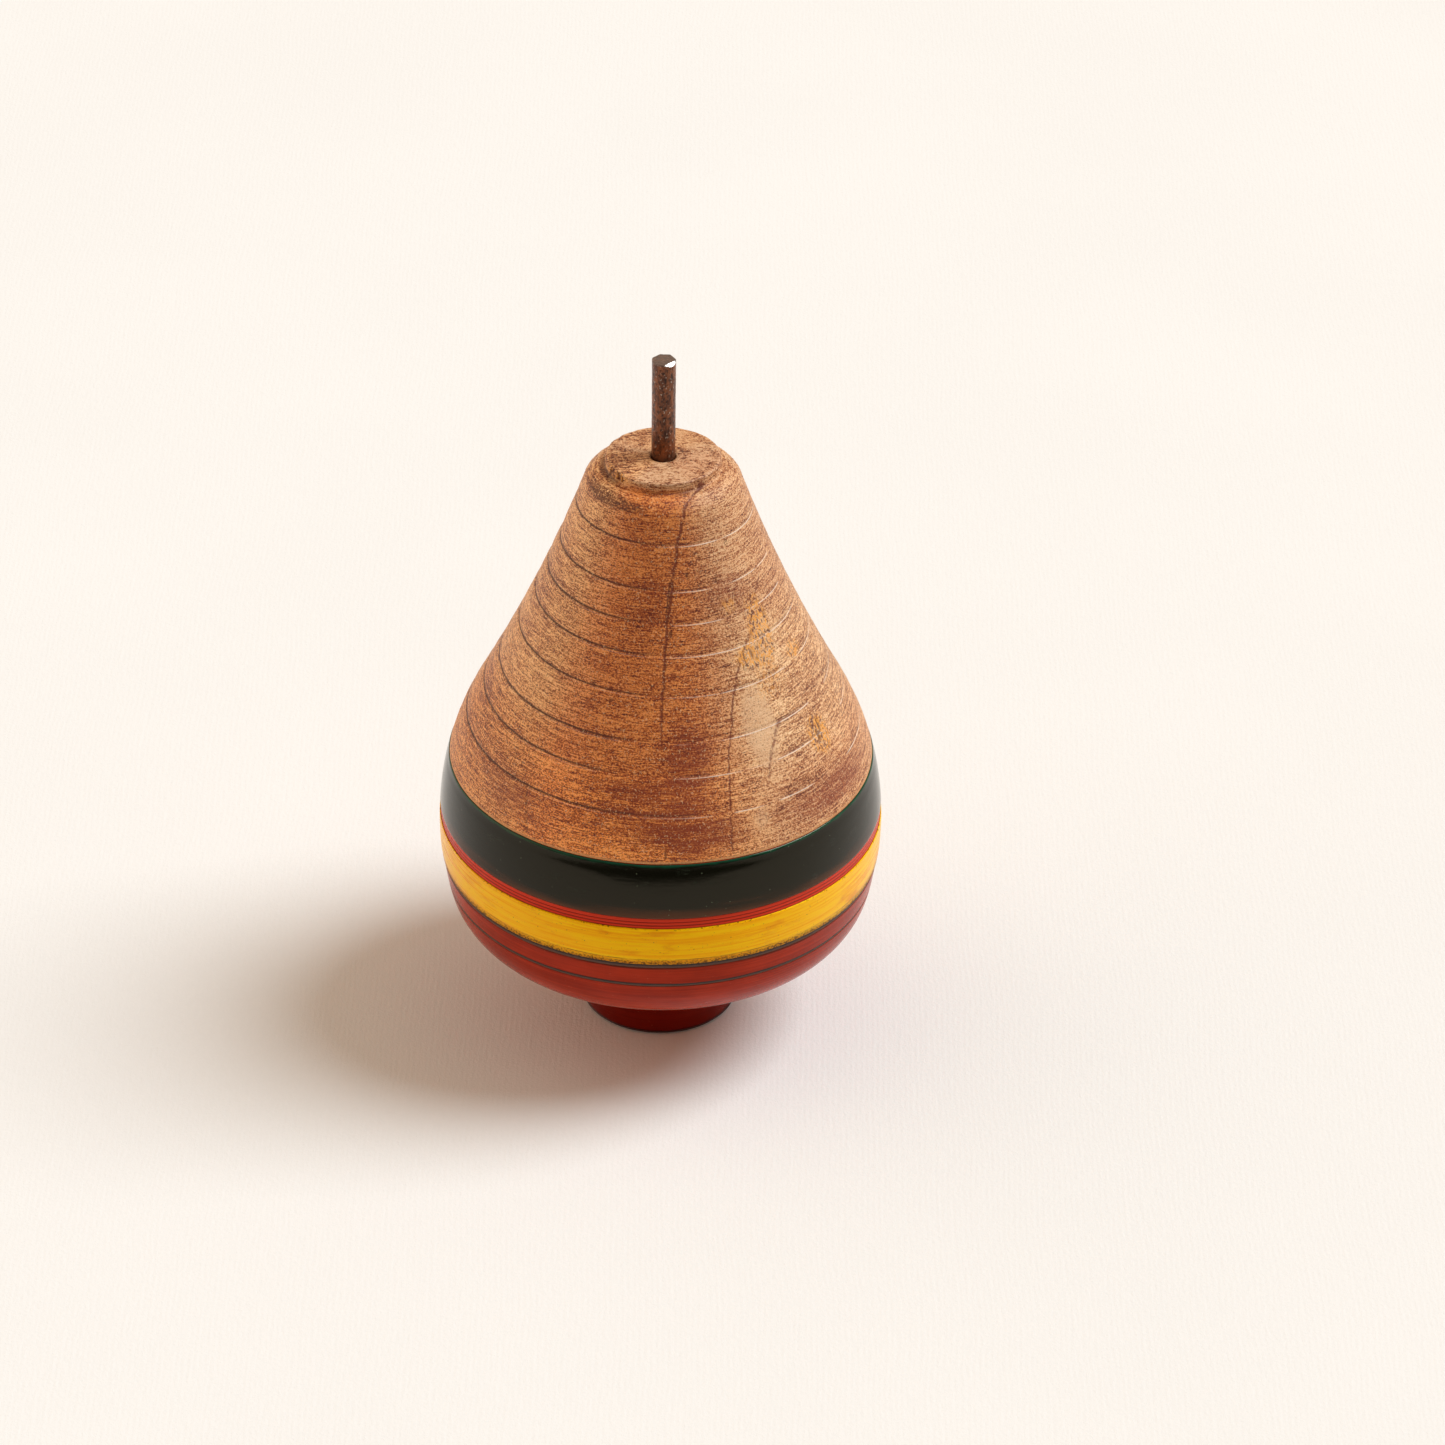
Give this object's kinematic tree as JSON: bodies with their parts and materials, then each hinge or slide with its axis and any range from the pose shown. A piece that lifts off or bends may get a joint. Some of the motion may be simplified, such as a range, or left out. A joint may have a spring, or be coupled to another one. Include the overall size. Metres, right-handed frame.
{
  "type": "peg top",
  "caption": "Turned wooden spinning top with lac bands and a steel peg, standing on its flat crown with the peg upwards.",
  "frame": {"origin": "centre of the flat crown that the top stands on", "axes": "+Z along the spin axis, from the crown up to the steel peg; X and Y are free, because the top is turned"},
  "size_m": [0.06, 0.06, 0.0997],
  "materials": {
    "bare_wood": "bare turned wood with fine tool rings, satin where handled",
    "peg_steel": "brown patina, with bright metal where the end is filed",
    "red_lac": "glossy, lightly worn",
    "green_lac": "high gloss, nearly black green",
    "yellow_lac": "glossy, with dark specks and a worn lower edge",
    "dark_lac": "satin, dark brown"
  },
  "bodies": {
    "root": {"wood_body": "bare_wood", "steel_peg": "peg_steel", "red_base_lacquer": "red_lac", "green_lacquer_band": "green_lac", "yellow_lacquer_band": "yellow_lac", "upper_dark_line": "dark_lac", "lower_dark_line": "dark_lac"}
  },
  "joints": []
}
